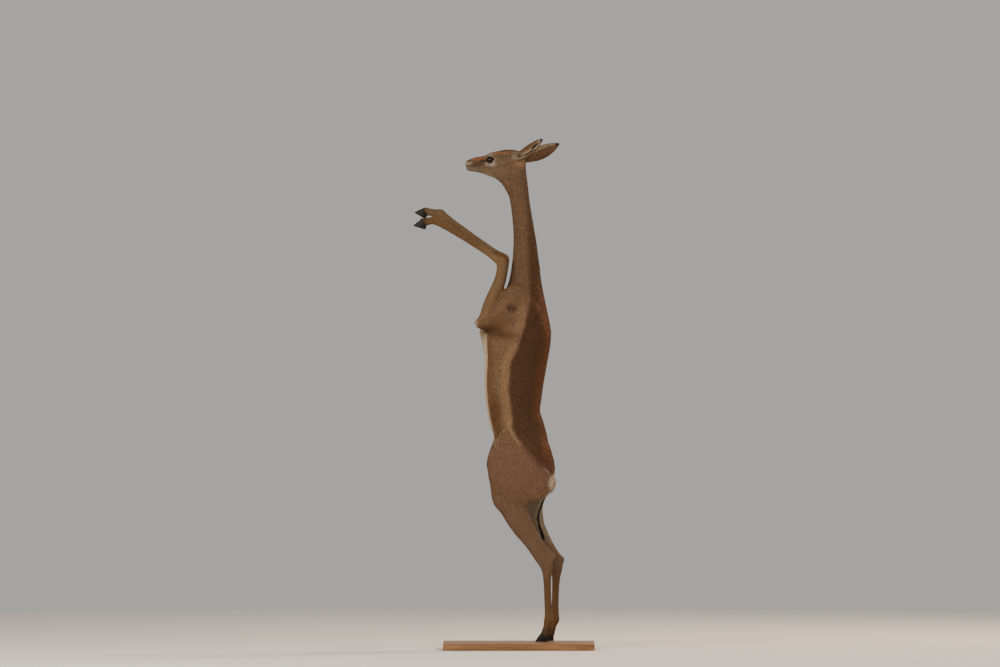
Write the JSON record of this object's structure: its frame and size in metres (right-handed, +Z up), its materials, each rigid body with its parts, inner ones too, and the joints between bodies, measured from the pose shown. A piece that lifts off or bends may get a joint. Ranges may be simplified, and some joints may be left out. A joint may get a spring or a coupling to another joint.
{
  "type": "gerenuk model",
  "caption": "Life-size gerenuk, hornless female, standing upright on its hind legs with forelegs raised to browse, on a flat wooden base.",
  "frame": {"origin": "middle of the base's underside, on the floor", "axes": "+Z up; the animal faces -X; +X is behind its back; its left side faces -Y, towards the viewer of the picture"},
  "size_m": [0.7432, 0.4, 2.0908],
  "materials": {
    "coat_tan": "short tan coat of hair",
    "coat_brown": "short dark brown coat of the back, with tan flanks and a white belly",
    "coat_head": "short tan coat with pale eye ring and chin",
    "coat_ear": "thin brown-backed ear with pale hair inside",
    "tail_hair": "black hair",
    "hoof_horn": "black horn",
    "eye_gloss": "wet dark eye",
    "base_wood": "oiled wood"
  },
  "bodies": {
    "root": {"ear_left": "coat_ear", "ear_right": "coat_ear", "eye_left": "eye_gloss", "eye_right": "eye_gloss", "fore_cannon_left": "coat_tan", "fore_cannon_right": "coat_tan", "fore_foot_left": "coat_tan", "fore_foot_right": "coat_tan", "fore_hoof_left_inner": "hoof_horn", "fore_hoof_left_outer": "hoof_horn", "fore_hoof_right_inner": "hoof_horn", "fore_hoof_right_outer": "hoof_horn", "forearm_left": "coat_tan", "forearm_right": "coat_tan", "head": "coat_head", "hind_cannon_left": "coat_tan", "hind_cannon_right": "coat_tan", "hind_foot_left": "coat_tan", "hind_foot_right": "coat_tan", "hind_hoof_left_inner": "hoof_horn", "hind_hoof_left_outer": "hoof_horn", "hind_hoof_right_inner": "hoof_horn", "hind_hoof_right_outer": "hoof_horn", "neck_lower": "coat_tan", "neck_upper": "coat_tan", "pelvis": "coat_tan", "shank_left": "coat_tan", "shank_right": "coat_tan", "stand_base": "base_wood", "tail": "coat_tan", "tail_tuft": "tail_hair", "thigh_left": "coat_tan", "thigh_right": "coat_tan", "torso_belly": "coat_brown", "torso_chest": "coat_tan"}
  },
  "joints": []
}
